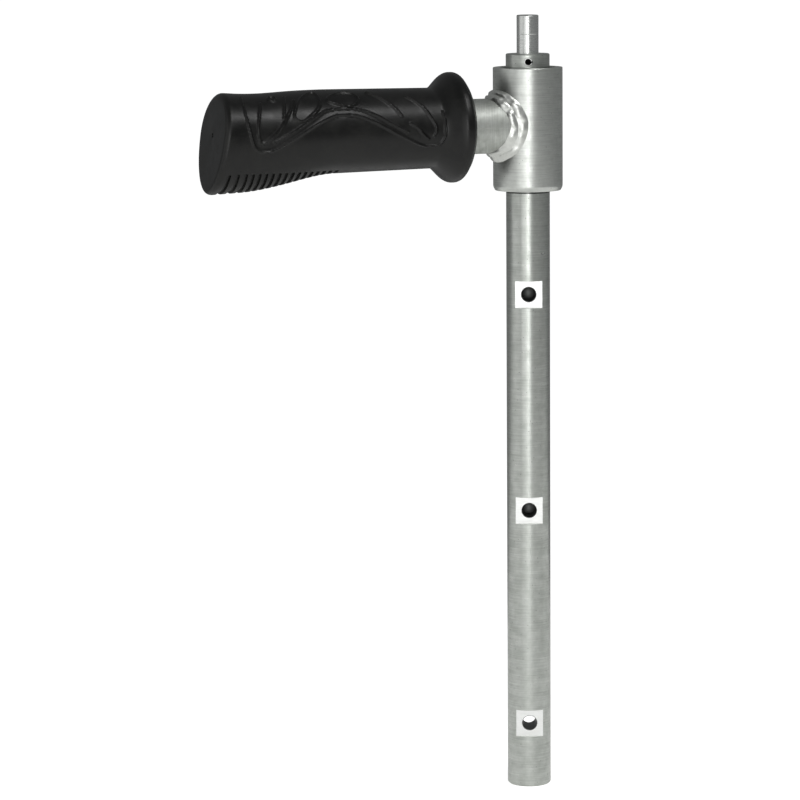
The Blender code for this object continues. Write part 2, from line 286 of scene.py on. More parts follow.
def drill_across(item: Piece, radius: float, reach: float, height: float) -> None:
    """Drill a straight hole through item from front to back at a height.

    Args:
        item: The piece.
        radius: The hole's radius.
        reach: How far the drill stands out at front and back.
        height: Height of the hole's axis.
    """
    drill = rod(radius, -reach, reach, "Y")
    place(drill, Matrix.Translation((0, 0, height)))
    work(item, drill)


def sheet(name: str, size: tuple[float, float], centre: Point) -> Piece:
    """Lay a flat sheet of a size at a place.

    Args:
        name: Its name.
        size: Its lengths along X and Y.
        centre: Its centre.

    Returns:
        The sheet.
    """
    clear_selection()
    bpy.ops.mesh.primitive_plane_add(size=1)
    item = bpy.context.object
    item.name = name
    place(item, Matrix.Translation(centre) @ Matrix.Diagonal((*size, 1, 1)))
    return item


def work(item: Piece, tool: Piece, joining: Joining = Joining.CUT) -> None:
    """Cut item with a tool, or join the tool to it, and throw the tool away.

    Args:
        item: The piece.
        tool: The solid that cuts or joins it.
        joining: Which of the two is done.
    """
    modifier = item.modifiers.new("work", "BOOLEAN")
    modifier.operation = joining.value
    modifier.solver = "EXACT"
    modifier.object = tool
    select_only(item)
    bpy.ops.object.modifier_apply(modifier=modifier.name)
    bpy.data.objects.remove(tool, do_unlink=True)


def rounded(profile: Profile, corners: dict[int, float], points: int = 5) -> Profile:
    """Replace corners of a profile with arcs.

    Args:
        profile: Points as (radius, height).
        corners: Number of a profile point to the length cut from each of its sides.
        points: Points in each arc.

    Returns:
        The profile with those corners rounded.
    """
    made: Profile = []
    for index, corner in enumerate(profile):
        if index not in corners:
            made.append(corner)
            continue
        here = Vector(corner)
        before = Vector(profile[index - 1]) - here
        after = Vector(profile[(index + 1) % len(profile)]) - here
        start = here + before.normalized() * corners[index]
        end = here + after.normalized() * corners[index]
        for step in range(points):
            t = step / (points - 1)
            spot = start * (1 - t) ** 2 + here * (2 * t * (1 - t)) + end * t**2
            made.append((spot.x, spot.y))
    return made


def ease(value: np.ndarray | float, low: float, high: float) -> np.ndarray | float:
    """Rise smoothly from 0 at low to 1 at high."""
    t = np.clip((value - low) / (high - low), 0.0, 1.0)
    return t * t * (3 - 2 * t)


def grid_piece(name: str, points: np.ndarray, wrap_rows: bool = False) -> Piece:
    """Lay a grid primitive over a table of points, and close its seams and ends.

    Args:
        name: The piece's name.
        points: Rows by columns by 3; each row is one closed ring of points.
        wrap_rows: True where the last row meets the first, as round a fillet ring.

    Returns:
        A closed skin.
    """
    rows, columns = points.shape[:2]
    full = np.concatenate([points, points[:, :1]], axis=1)
    if wrap_rows:
        full = np.concatenate([full, full[:1]], axis=0)
        rows += 1
    clear_selection()
    bpy.ops.mesh.primitive_grid_add(x_subdivisions=columns, y_subdivisions=rows - 1, size=1.0)
    item = bpy.context.object
    item.name = name
    flat = np.zeros(len(item.data.vertices) * 3, np.float32)
    item.data.vertices.foreach_get("co", flat)
    flat = flat.reshape(-1, 3)
    across = np.rint((flat[:, 0] + 0.5) * columns).astype(int)
    along = np.rint((flat[:, 1] + 0.5) * (rows - 1)).astype(int)
    item.data.vertices.foreach_set("co", full[along, across].astype(np.float32).ravel())
    item.data.update()
    select_only(item)
    bpy.ops.object.mode_set(mode="EDIT")
    bpy.ops.mesh.select_all(action="SELECT")
    bpy.ops.mesh.remove_doubles(threshold=MERGE)
    bpy.ops.mesh.select_all(action="DESELECT")
    bpy.ops.mesh.select_non_manifold()
    if not wrap_rows:
        bpy.ops.mesh.edge_face_add()
    bpy.ops.mesh.select_all(action="SELECT")
    bpy.ops.mesh.normals_make_consistent(inside=False)
    bpy.ops.object.mode_set(mode="OBJECT")
    return item


def hand_over(item: Piece, body: Body, slot: str, node: str, *finishes: Material) -> None:
    """Coat and shade a finished piece, let it ride on its body and stand for its node.

    Args:
        item: The piece.
        body: The body that carries it.
        slot: The look's slot; not used.
        node: The CAD node that it stands for.
        *finishes: Finishes that it has yet to get.
    """
    coat(item, *finishes)
    select_only(item)
    bpy.ops.object.shade_smooth_by_angle(angle=SHARP_ANGLE)
    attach(item, body.value)
    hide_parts(node)
    log.info("%s: %d faces on %s", item.name, len(item.data.polygons), body.value)


# ------------------------------------------------------------------- finishes


class Finish:
    """What every finish starts from."""

    name: str

    def start(self) -> tuple[Material, Tree, Node, Socket]:
        """Make the material.

        Returns:
            The material, its node tree, its shader and its object coordinates.
        """
        made, tree, shader = new_material(self.name)
        return made, tree, shader, add_node(tree, "TexCoord", out="Object")


@dataclass(frozen=True)
class ZincPlate(Finish):
    """Bright zinc electroplate over turned steel: soft grey metal, faint rings, small pits.

    Attributes:
        name: The material's name.
        light: Colour of the clean plate.
        dull: Colour of the clouded plate.
        roughness: Middle of its roughness.
        ring_mm: Spacing of the turning marks, drawn coarse enough to show.
        cloud_mm: Size of the dull clouds.
        pit_mm: Spacing of the dark pits.
        turn: Rotation of the marks' axis.
        weld_shade_centre: Centre of a ring of painted shade round the weld, where stub and sleeve meet, or
            None.
        weld_shade_mm: Inner and outer radius of that painted shade.
        ragged_mm: Size of the breaks in the painted shade's edge.
        painted_shade_band: Lower and upper height of a thin band of painted shade on the bar just under the
            head, or None.
    """

    name: str
    light: str = "#CED1CC"
    dull: str = "#BDC1BB"
    roughness: float = 0.32
    ring_mm: float = 0.35
    cloud_mm: float = 5.0
    pit_mm: float = 2.6
    turn: Point = (0.0, 0.0, 0.0)
    weld_shade_centre: Point | None = None
    weld_shade_mm: tuple[float, float] = (15.0, 19.0)
    ragged_mm: float = 2.5
    painted_shade_band: tuple[float, float] | None = None

    def material(self) -> Material:
        """Build the shader.

        Returns:
            The finish.
        """
        made, tree, shader, spot = self.start()
        # marks are stretched round the bar, so that they read as rings
        across = add_node(tree, "Mapping", {"Vector": spot, "Rotation": self.turn})
        across = add_node(tree, "Mapping", {"Vector": across, "Scale": (0.03, 0.03, 1.0)})
        ring_in = {"Vector": across, "Scale": 1 / (self.ring_mm * MM), "Detail": 3.0}
        rings = add_node(tree, "TexNoise", ring_in)
        cloud_size = 1 / (self.cloud_mm * MM)
        cloud_in = {"Vector": spot, "Scale": cloud_size, "Detail": 5.0, "Roughness": 0.62}
        clouds = add_node(tree, "TexNoise", cloud_in)
        pits = add_node(tree, "TexVoronoi", {"Vector": spot, "Scale": 1 / (self.pit_mm * MM)})
        pit_range = {"Value": pits, "From Min": 0.045, "From Max": 0.10, "To Min": 0.45, "To Max": 1.0}
        pit_shade = add_node(tree, "MapRange", pit_range)
        tone = add_node(tree, "MapRange", {"Value": clouds, "From Min": 0.36, "From Max": 0.66})
        colours = {0: tone, 6: linear(self.dull), 7: linear(self.light)}
        plate = add_node(tree, "Mix", colours, out=2, data_type="RGBA")
        grain_range = {"Value": rings, "From Min": 0.3, "From Max": 0.7, "To Min": 0.84, "To Max": 1.06}
        grain = add_node(tree, "MapRange", grain_range)
        shade = add_node(tree, "Math", {0: grain, 1: pit_shade}, operation="MULTIPLY")
        # painted shade: a ring round the weld on the sleeve
        if self.weld_shade_centre:
            shade = self.paint_weld_shade(tree, spot, shade)
        # painted shade: a dark band on the bar just under the head's foot
        if self.painted_shade_band:
            shade = self.painted_shade(tree, spot, shade)
        low, high = self.roughness - 0.05, self.roughness + 0.06
        rough_range = {"Value": clouds, "From Min": 0.3, "From Max": 0.7, "To Min": high, "To Max": low}
        height = add_node(tree, "Math", {0: rings, 1: 0.6}, operation="MULTIPLY")
        height = add_node(tree, "Math", {0: height, 1: pit_shade}, operation="ADD")
        outside = {
            "Base Color": add_node(tree, "VectorMath", {0: plate, "Scale": shade}, operation="SCALE"),
            "Roughness": add_node(tree, "MapRange", rough_range),
            "Normal": add_node(tree, "Bump", {"Height": height, "Strength": 0.35, "Distance": 0.03 * MM}),
            "Metallic": 1.0,
        }
        set_inputs(tree, shader, outside)
        return made

    def paint_weld_shade(self, tree: Tree, spot: Socket, tone: Socket) -> Socket:
        """Paint shade into a ring round the weld, where stub and sleeve meet, broken up by noise.

        Args:
            tree: The material's node tree.
            spot: Object coordinates.
            tone: The brightness to darken.

        Returns:
            The darkened brightness.
        """
        gap = add_node(tree, "VectorMath", {0: spot, 1: self.weld_shade_centre}, out="Value", operation="DISTANCE")
        ragged_in = {"Vector": spot, "Scale": 1 / (self.ragged_mm * MM), "Detail": 4.0}
        ragged = add_node(tree, "TexNoise", ragged_in)
        wander = add_node(tree, "Math", {0: ragged, 1: 6 * MM}, operation="MULTIPLY")
        edge = add_node(tree, "Math", {0: gap, 1: wander}, operation="ADD")
        near, far = (value * MM for value in self.weld_shade_mm)
        dark_range = {"Value": edge, "From Min": near, "From Max": far, "To Min": 0.45, "To Max": 1.0}
        dark = add_node(tree, "MapRange", dark_range, interpolation_type="SMOOTHSTEP")
        return add_node(tree, "Math", {0: tone, 1: dark}, operation="MULTIPLY")

    def painted_shade(self, tree: Tree, spot: Socket, tone: Socket) -> Socket:
        """Paint a thin band of shade on the bar, just under the head's foot.

        Args:
            tree: The material's node tree.
            spot: Object coordinates.
            tone: The brightness to darken.

        Returns:
            The darkened brightness.
        """
        low, high = self.painted_shade_band
        height = add_node(tree, "SeparateXYZ", {0: spot}, out="Z")
        band = {0: height, 1: (low + high) / 2, 2: (high - low) / 2}
        inside = add_node(tree, "Math", band, operation="COMPARE")
        band_shade = add_node(tree, "MapRange", {"Value": inside, "To Min": 1.0, "To Max": 0.12})
        return add_node(tree, "Math", {0: tone, 1: band_shade}, operation="MULTIPLY")


@dataclass(frozen=True)
class CutSteel(Finish):
    """Bare steel left bright by a cutter, with its fine parallel marks.

    Attributes:
        name: The material's name.
        colour: Colour of the bare metal.
        roughness: Middle of its roughness.
        mark_mm: Spacing of the tool marks.
        squeeze: Scale of the marks' coordinates, small along the marks.
        depth_mm: Depth of the marks.
    """

    name: str
    colour: str
    roughness: float
    mark_mm: float
    squeeze: Point = (1.0, 1.0, 1.0)
    depth_mm: float = 0.01

    def material(self) -> Material:
        """Build the shader.

        Returns:
            The finish.
        """
        made, tree, shader, spot = self.start()
        drawn = add_node(tree, "Mapping", {"Vector": spot, "Scale": self.squeeze})
        marks_in = {"Vector": drawn, "Scale": 1 / (self.mark_mm * MM), "Detail": 4.0, "Roughness": 0.6}
        marks = add_node(tree, "TexNoise", marks_in)
        span = {"Value": marks, "From Min": 0.3, "From Max": 0.7}
        tone = add_node(tree, "MapRange", {**span, "To Min": 0.88, "To Max": 1.0})
        low, high = self.roughness - 0.04, self.roughness + 0.06
        bare = {0: linear(self.colour)[:3], "Scale": tone}
        bump = {"Height": marks, "Strength": 0.5, "Distance": self.depth_mm * MM}
        outside = {
            "Base Color": add_node(tree, "VectorMath", bare, operation="SCALE"),
            "Roughness": add_node(tree, "MapRange", {**span, "To Min": high, "To Max": low}),
            "Normal": add_node(tree, "Bump", bump),
            "Metallic": 1.0,
        }
        set_inputs(tree, shader, outside)
        return made


@dataclass(frozen=True)
class MouldedRubber(Finish):
    """Black vulcanised rubber: satin skin with a fine grain, dusty in patches.

    Attributes:
        name: The material's name.
        black: Colour of the clean rubber.
        dusty: Colour of the bloom on it.
        roughness: Middle of its roughness.
        grain_mm: Size of the mould's texture, drawn coarse enough to show.
        bloom_mm: Size of the dusty patches.
        fleck_mm: Spacing of the specks of dust.
    """

    name: str
    black: str = "#090908"
    dusty: str = "#171715"
    roughness: float = 0.34
    grain_mm: float = 0.45
    bloom_mm: float = 9.0
    fleck_mm: float = 4.5

    def material(self) -> Material:
        """Build the shader.

        Returns:
            The finish.
        """
        made, tree, shader, spot = self.start()
        bloom_size = 1 / (self.bloom_mm * MM)
        bloom_in = {"Vector": spot, "Scale": bloom_size, "Detail": 6.0, "Roughness": 0.68}
        bloom = add_node(tree, "TexNoise", bloom_in)
        grain_in = {"Vector": spot, "Scale": 1 / (self.grain_mm * MM), "Detail": 3.0}
        grain = add_node(tree, "TexNoise", grain_in)
        fleck_in = {"Vector": spot, "Scale": 1 / (self.fleck_mm * MM), "Randomness": 1.0}
        fleck = add_node(tree, "TexVoronoi", fleck_in)
        dust_range = {"Value": fleck, "From Min": 0.03, "From Max": 0.07, "To Min": 0.5, "To Max": 0.0}
        dust = add_node(tree, "MapRange", dust_range)
        haze = add_node(tree, "MapRange", {"Value": bloom, "From Min": 0.42, "From Max": 0.72})
        amount = add_node(tree, "Math", {0: haze, 1: dust}, operation="MAXIMUM")
        colours = {0: amount, 6: linear(self.black), 7: linear(self.dusty)}
        low, high = self.roughness - 0.06, self.roughness + 0.12
        rough_range = {"Value": bloom, "From Min": 0.3, "From Max": 0.7, "To Min": low, "To Max": high}
        outside = {
            "Base Color": add_node(tree, "Mix", colours, out=2, data_type="RGBA"),
            "Roughness": add_node(tree, "MapRange", rough_range),
            "Normal": add_node(tree, "Bump", {"Height": grain, "Strength": 0.35, "Distance": 0.05 * MM}),
            "Specular IOR Level": 0.38,
        }
        set_inputs(tree, shader, outside)
        return made


@dataclass(frozen=True)
class MouldedNylon(Finish):
    """Black moulded nylon of the liners: dull, with a slight pebble.

    Attributes:
        name: The material's name.
        colour: Its colour.
        roughness: Its roughness.
        pebble_mm: Size of the pebble.
    """

    name: str
    colour: str = "#222222"
    roughness: float = 0.55
    pebble_mm: float = 0.5

    def material(self) -> Material:
        """Build the shader.

        Returns:
            The finish.
        """
        made, tree, shader, spot = self.start()
        pebble_in = {"Vector": spot, "Scale": 1 / (self.pebble_mm * MM), "Detail": 2.0}
        pebble = add_node(tree, "TexNoise", pebble_in)
        outside = {
            "Base Color": linear(self.colour),
            "Roughness": self.roughness,
            "Normal": add_node(tree, "Bump", {"Height": pebble, "Strength": 0.4, "Distance": 0.05 * MM}),
        }
        set_inputs(tree, shader, outside)
        return made


# --------------------------------------------------------------- sub-assemblies


@dataclass
class Arm:
    """The round bar, with milled bolt seats, cross holes and a bored end."""

    holes: int = 3
    through_holes: int = 1
    blind_depth: float = 14 * MM
    drill_point: float = 1.9 * MM
    pitch: float = 100 * MM
    first_hole: float = 30 * MM
    hole_radius: float = 3.3 * MM
    seat_side: float = 12.4 * MM
    chamfer: float = 0.8 * MM
    top_edge: float = 0.4 * MM
    groove_radius: float = 9.5 * MM
    groove_gap: float = 0.2 * MM
    bore_radius: float = 5.05 * MM
    bore_depth: float = 30 * MM
    pin_hole_radius: float = 2.05 * MM
    hole_break: float = 0.25 * MM
    foot_rounds: tuple[float, float] = (0.25 * MM, 0.2 * MM)
    flat_normal: float = 0.999
    near: float = 0.05 * MM
    wall_reach: float = 1.2
    radius: float = field(init=False)
    top: float = field(init=False)
    pin_height: float = field(init=False)

    def __post_init__(self) -> None:
        """Read the bar's size and the pin's height from the frame."""
        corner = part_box("arm_bar")[1]
        self.radius, self.top = corner.x, corner.z
        low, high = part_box("spigot_spring_pin")
        self.pin_height = (low.z + high.z) / 2

    def seat_depth(self) -> float:
        """Distance of a milled seat from the bar's axis."""
        return math.sqrt(self.radius**2 - (self.seat_side / 2) ** 2)

    def profile(self) -> Profile:
        """Outer line of the bar, from the centre of its top to the centre of its foot.

        Returns:
            Points as (radius, height).
        """
        line: Profile = [(0.0, self.top), (self.radius - self.top_edge, self.top)]
        line.append((self.radius, self.top - self.top_edge))
        for end in End:
            low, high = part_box(f"{end.value}_retaining_ring")
            above, below = high.z + self.groove_gap, low.z - self.groove_gap
            line += [(self.radius, above), (self.groove_radius, above)]
            line += [(self.groove_radius, below), (self.radius, below)]
        line += [(self.radius, self.chamfer), (self.radius - self.chamfer, 0.0), (0.0, 0.0)]
        above, below = self.foot_rounds
        return rounded(line, {len(line) - 3: above, len(line) - 2: below}, points=4)

    def mill_seat(self, bar: Piece, height: float, through: bool) -> None:
        """Mill the flats at one hole and drill the hole, with its mouth deburred.

        Args:
            bar: The bar.
            height: Height of the hole.
            through: True where the hole comes out at the back, on a second flat.
        """
        reach = 2 * self.radius
        for side in (-1, 1) if through else (-1,):
            centre = (0.0, side * (self.seat_depth() + reach / 2), height)
            work(bar, box((reach, reach, self.seat_side), centre))
        seat, wide = self.seat_depth(), self.hole_radius + 2 * self.hole_break
        mouth: Profile = [(0.0, reach), (wide, reach), (wide, seat + self.hole_break)]
        mouth.append((self.hole_radius, seat - self.hole_break))
        if through:
            far: Profile = [(radius, -along) for radius, along in reversed(mouth)]
        else:
            floor = seat - self.blind_depth
            far = [(self.hole_radius, floor + self.drill_point), (0.0, floor)]
        drill = turned("drill", mouth + far, FINE_STEPS // 2)
        place(drill, Matrix.Translation((0, 0, height)) @ Matrix.Rotation(math.pi / 2, 4, "X"))
        work(bar, drill)

    def build(self, plate: Material, bare: Material, bore: Material) -> None:
        """Make the bar.

        Args:
            plate: Finish of the round surface.
            bare: Finish of the milled seats.
            bore: Finish of the drilled holes: bare drilled steel, darkened as painted shade.
        """
        bar = turned("arm_round_bar", self.profile())
        coat(bar, plate, bare, bore)
        for number in range(self.holes):
            height = self.first_hole + number * self.pitch
            self.mill_seat(bar, height, number < self.through_holes)
        low = self.top - self.bore_depth
        work(bar, rod(self.bore_radius, low, self.top + self.radius))
        drill_across(bar, self.pin_hole_radius, 2 * self.radius, self.pin_height)
        self.mark_faces(bar)
        hand_over(bar, Body.ARM, "zinc_arm", "arm_bar")

    def mark_faces(self, bar: Piece) -> None:
        """Give the seats and the drilled walls their own finishes, by place and normal; the drilled walls'
        dark finish is painted shade.

        Args:
            bar: The bar.
        """
        seat = self.seat_depth()
        wide = self.hole_radius + self.hole_break
        drilled = [(self.first_hole + number * self.pitch, wide) for number in range(self.holes)]
        drilled.append((self.pin_height, self.pin_hole_radius + self.near))
        for face in bar.data.polygons:
            x, y, z = face.center
            inside = any(math.hypot(x, z - height) < reach for height, reach in drilled)
            if abs(face.normal.y) > self.flat_normal and abs(abs(y) - seat) < self.near:
                face.material_index = 1
            # drilled walls take the dark finish that paints shade into the holes
            elif inside and abs(y) < self.wall_reach * seat:
                face.material_index = 2


@dataclass
class Spigot:
    """The drive spigot in the arm's end and the spring pin that holds it."""

    edge: float = 0.35 * MM
    witness: float = 0.06 * MM
    witness_width: float = 0.35 * MM
    pin_wall: float = 0.5 * MM
    pin_slot: float = 0.8 * MM
    pin_web: float = 0.5 * MM
    pin_round: float = 0.2 * MM
    pin_gap: float = 0.05 * MM
    edge_round: float = 0.12 * MM
    hole_margin: float = 0.1 * MM
    skin_share: float = 0.97
    slot_share: float = 0.98
    bore_margin: float = 0.02 * MM
    bore_mouth: float = 0.3 * MM

    def build(self, polished: Material, spring: Material, painted_shade: Material) -> None:
        """Make the spigot and its pin.

        Args:
            polished: Finish of the spigot.
            spring: Finish of the pin.
            painted_shade: Dull black finish that paints shade on the cross hole's walls and in the pin's
                bore.
        """
        low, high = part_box("drive_spigot")
        pin_low, pin_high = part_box("spigot_spring_pin")
        radius = high.x
        middle = (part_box("arm_bar")[1].z + high.z) / 2
        half = self.witness_width / 2
        line = [
            (0.0, high.z),
            (radius - self.edge, high.z),
            (radius, high.z - self.edge),
            (radius, middle + 2 * half),
            (radius, middle + half),
            (radius - self.witness, middle),
            (radius, middle - half),
            (radius, middle - 2 * half),
            (radius, low.z + self.edge),
            (radius - self.edge, low.z),
            (0.0, low.z),
        ]
        spigot = turned("turned_spigot", rounded(line, {1: self.edge_round, 2: self.edge_round}, 3))
        height = (pin_low.z + pin_high.z) / 2
        pin_radius = (pin_high.z - pin_low.z) / 2
        drill_across(spigot, pin_radius + self.pin_gap, 2 * radius, height)
        coat(spigot, polished, painted_shade)
        # the cross hole's walls get the dull black that paints shade
        wall, skin = pin_radius + self.hole_margin, self.skin_share * radius
        for face in spigot.data.polygons:
            x, y, z = face.center
            face.material_index = int(math.hypot(x, z - height) < wall and math.hypot(x, y) < skin)
        hand_over(spigot, Body.ARM, "polished_steel", "drive_spigot")
        self.build_pin(spring, painted_shade)

    def build_pin(self, spring: Material, painted_shade: Material) -> None:
        """Make the rolled pin: a tube with rounded ends and a slot, blocked at the middle, its bore painted
        black as shade.

        Args:
            spring: Finish of the pin.
            painted_shade: Dull black finish that paints shade on its bore and on the web that blocks it.
        """
        low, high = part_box("spigot_spring_pin")
        height, radius, half = (low.z + high.z) / 2, (high.z - low.z) / 2, high.y
        inner = radius - self.pin_wall
        line: Profile = [(0.0, self.pin_web), (inner, self.pin_web), (inner, half), (radius, half)]
        line += [(level, -along) for level, along in reversed(line)]
        line = rounded(line, {3: self.pin_round, 4: self.pin_round}, points=4)
        pin = turned("rolled_spring_pin", line, SMALL_STEPS)
        slot_centre = (self.slot_share * inner + radius / 2, 0.0, 0.0)
        work(pin, box((radius, self.pin_slot, 3 * half), slot_centre))
        place(pin, Matrix.Translation((0, 0, height)) @ Matrix.Rotation(math.pi / 2, 4, "X"))
        coat(pin, spring, painted_shade)
        # the bore's faces get the dull black that paints shade
        wall, mouth = inner + self.bore_margin, half - self.bore_mouth
        for face in pin.data.polygons:
            x, y, z = face.center
            face.material_index = int(math.hypot(x, z - height) < wall and abs(y) < mouth)
        hand_over(pin, Body.ARM, "spring_steel", "spigot_spring_pin")


@dataclass
class BearingStack:
    """Liner, thrust washer and retaining ring at one end of the hub."""

    end: End
    edge: float = 0.15 * MM
    flange: float = 1.5 * MM
    liner_radius: float = 11.3 * MM
    lug_radius: float = 1.5 * MM
    lug_centre: float = 11.0 * MM
    lug_hole: float = 0.7 * MM
    opening: float = math.radians(34)
    ring_radius: float = 11.6 * MM
    ring_bore: float = 9.6 * MM
    liner_gap: float = 0.1 * MM
    washer_gap: float = 0.3 * MM
    lug_share: float = 0.75
    arm_radius: float = field(init=False)

    def __post_init__(self) -> None:
        """Read the bar's radius from the frame."""
        self.arm_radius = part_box("arm_bar")[1].x

    def build(self, nylon: Material, steel: Material, spring: Material) -> None:
        """Make the three pieces.

        Args:
            nylon: Finish of the liner.
            steel: Finish of the washer.
            spring: Finish of the retaining ring.
        """
        self.build_liner(nylon)
        self.build_washer(steel)
        self.build_ring(spring)

    def build_liner(self, nylon: Material) -> None:
        """Make the flanged liner.

        Args:
            nylon: Its finish.
        """
        node = f"{self.end.value}_bush"
        low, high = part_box(node)
        bore = self.arm_radius + self.liner_gap
        wide = high.x
        if self.end is End.UPPER:
            step = high.z - self.flange
            line = [(bore, high.z), (wide, high.z), (wide, step), (self.liner_radius, step)]
            line += [(self.liner_radius, low.z), (bore, low.z)]
            corners = {1: self.edge, 2: self.edge}
        else:
            step = low.z + self.flange
            line = [(bore, high.z), (self.liner_radius, high.z), (self.liner_radius, step)]
            line += [(wide, step), (wide, low.z), (bore, low.z)]
            corners = {3: self.edge, 4: self.edge}
        liner = turned(f"{self.end.value}_flanged_liner", rounded(line, corners, 3), ring=True)
        hand_over(liner, Body.HEAD, "black_nylon", node, nylon)

    def build_washer(self, steel: Material) -> None:
        """Make the flat thrust washer.

        Args:
            steel: Its finish.
        """
        node = f"{self.end.value}_thrust_washer"
        low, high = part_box(node)
        bore = self.arm_radius + self.washer_gap
        line = [(bore, high.z), (high.x, high.z), (high.x, low.z), (bore, low.z)]
        line = rounded(line, {1: self.edge, 2: self.edge}, 3)
        washer = turned(f"{self.end.value}_flat_washer", line, ring=True)
        hand_over(washer, Body.ARM, "washer_steel", node, steel)

    def build_ring(self, spring: Material) -> None:
        """Make the open retaining ring with its two drilled lugs.

        Args:
            spring: Its finish.
        """
        node = f"{self.end.value}_retaining_ring"
        low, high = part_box(node)
        line = [(self.ring_bore, high.z), (self.ring_radius, high.z)]
        line += [(self.ring_radius, low.z), (self.ring_bore, low.z)]
        ring = turned(f"{self.end.value}_open_ring", line, ring=True)
        thick = high.z - low.z
        spots = []
        for side in (-1, 1):
            angle = math.pi / 2 + side * self.opening / 2
            spots.append((self.lug_centre * math.cos(angle), self.lug_centre * math.sin(angle), 0.0))
        for spot in spots:
            lug = rod(self.lug_radius, low.z, high.z)
            place(lug, Matrix.Translation(spot))
            work(ring, lug, Joining.ADD)
        mouth = 2 * (abs(spots[0][0]) - self.lug_radius * self.lug_share)
        work(ring, box((mouth, self.lug_centre, 3 * thick), (0.0, self.lug_centre, low.z)))
        for spot in spots:
            hole = rod(self.lug_hole, low.z - thick, high.z + thick, steps=24)
            place(hole, Matrix.Translation(spot))
            work(ring, hole)
        hand_over(ring, Body.ARM, "spring_steel", node, spring)


@dataclass
class Head:
    """The swivelling head's steelwork: sleeve, stub tube and the weld between them."""

    angle: float = math.radians(22)
    pocket_radius: float = 12.9 * MM
    pocket_depth: float = 5.0 * MM
    bore_radius: float = 11.6 * MM
    chamfer_rise: float = 1.8 * MM
    chamfer_inset: float = 0.9 * MM
    top_edge: float = 0.5 * MM
    pocket_edge: float = 0.2 * MM
    chamfer_top: float = 0.7 * MM
    chamfer_foot: float = 0.3 * MM
    stub_wall: float = 2.0 * MM
    stub_span: tuple[float, float] = (5 * MM, 146 * MM)
    end_round: float = 0.3 * MM
    stub_gap: float = 0.1 * MM
    seam: float = 0.05 * MM
    seam_radius: float = 1.1 * MM
    seam_span: tuple[float, float] = (6 * MM, 60 * MM)
    weld_leg: float = 4.1 * MM
    side_leg: float = 4.3 * MM
    pass_height: float = 0.55 * MM
    ripple: float = 0.16 * MM
    ripples: int = 31
    wander: float = 0.45 * MM
    hub_radius: float = field(init=False)
    stub_radius: float = field(init=False)
    stub_height: float = field(init=False)

    def __post_init__(self) -> None:
        """Read the sleeve's and the stub's sizes from the frame."""
        self.hub_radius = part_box("hub_sleeve")[1].x
        low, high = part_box("grip_stub")
        self.stub_radius = (high.z - low.z) / 2
        self.stub_height = (high.z + low.z) / 2

    def grip_frame(self) -> Matrix:
        """Frame of the stub: X down, Y towards the front and Z out along the stub."""
        turn = Matrix.Rotation(math.pi + self.angle, 4, "Z") @ Matrix.Rotation(math.pi / 2, 4, "Y")
        return Matrix.Translation((0, 0, self.stub_height)) @ turn

    def outward(self) -> Vector:
        """Unit vector from the arm's axis out along the stub."""
        return Vector((-math.cos(self.angle), -math.sin(self.angle), 0.0))

    def build_sleeve(self, plate: Material) -> None:
        """Turn the hub sleeve with its two pockets.

        Args:
            plate: Its finish.
        """
        low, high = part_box("hub_sleeve")
        foot = self.hub_radius - self.chamfer_inset
        line = [
            (self.pocket_radius, high.z),
            (self.hub_radius, high.z),
            (self.hub_radius, low.z + self.chamfer_rise),
            (foot, low.z),
            (self.pocket_radius, low.z),
            (self.pocket_radius, low.z + self.pocket_depth),
            (self.bore_radius, low.z + self.pocket_depth),
            (self.bore_radius, high.z - self.pocket_depth),
            (self.pocket_radius, high.z - self.pocket_depth),
        ]
        edges = {0: self.pocket_edge, 1: self.top_edge, 2: self.chamfer_top, 3: self.chamfer_foot}
        sleeve = turned("swivel_sleeve", rounded(line, edges), ring=True)
        hand_over(sleeve, Body.HEAD, "zinc_head", "hub_sleeve", plate)

    def build_stub(self, plate: Material) -> None:
        """Make the stub tube, coped to the sleeve, with the low ridge of its own seam.

        Args:
            plate: Its finish.
        """
        near, far = self.stub_span
        inner = self.stub_radius - self.stub_wall
        section = [(inner, far), (self.stub_radius, far), (self.stub_radius, near), (inner, near)]
        section = rounded(section, {0: self.end_round, 1: self.end_round}, 3)
        stub = turned("coped_stub_tube", section, ring=True)
        ridge = rod(self.seam_radius, *self.seam_span)
        place(ridge, Matrix.Translation((0, self.stub_radius - self.seam_radius + self.seam, 0)))
        work(stub, ridge, Joining.ADD)
        reach = 2 * self.stub_radius
        work(stub, rod(self.hub_radius + self.stub_gap, -reach, reach, "X", FINE_STEPS))
        place(stub, self.grip_frame())
        hand_over(stub, Body.HEAD, "zinc_head", "grip_stub", plate)

    def weld_points(self, columns: int = 740, rows: int = 30) -> np.ndarray:
        """Points of the fillet: rings about the stub, rows across its face and back.

        Args:
            columns: Points round the stub.
            rows: Points across the visible face.

        Returns:
            Section points by ring points by 3, in the stub's frame.
        """
        angle = np.arange(columns) * math.tau / columns
        inner = self.stub_radius + 0.05 * MM
        hub = self.hub_radius + 0.02 * MM
        # waves of a few lengths, so that no two stretches of the weld are alike
        waver = np.sin(3 * angle + 0.7) + 0.8 * np.sin(7 * angle + 2.1) + 0.5 * np.sin(13 * angle + 4.0)
        tilt = np.sin(5 * angle + 1.3) + 0.7 * np.sin(11 * angle + 0.4)
        arc = hub * math.asin(inner / hub) + self.side_leg + self.wander * 0.25 * waver
        rise = inner + self.weld_leg + self.wander * 0.35 * waver
        bearing = arc / hub * np.sin(angle)
        foot = np.stack([rise * np.cos(angle), hub * np.sin(bearing), hub * np.cos(bearing)], axis=1)
        skin = np.sqrt(hub**2 - (inner * np.sin(angle)) ** 2)
        round_stub = np.stack([inner * np.cos(angle), inner * np.sin(angle)], axis=1)
        tip = np.column_stack([round_stub, skin + self.weld_leg + self.wander * 0.4 * tilt])
        outward = np.column_stack([0.75 * np.cos(angle), 0.75 * np.sin(angle), np.full(columns, 0.66)])
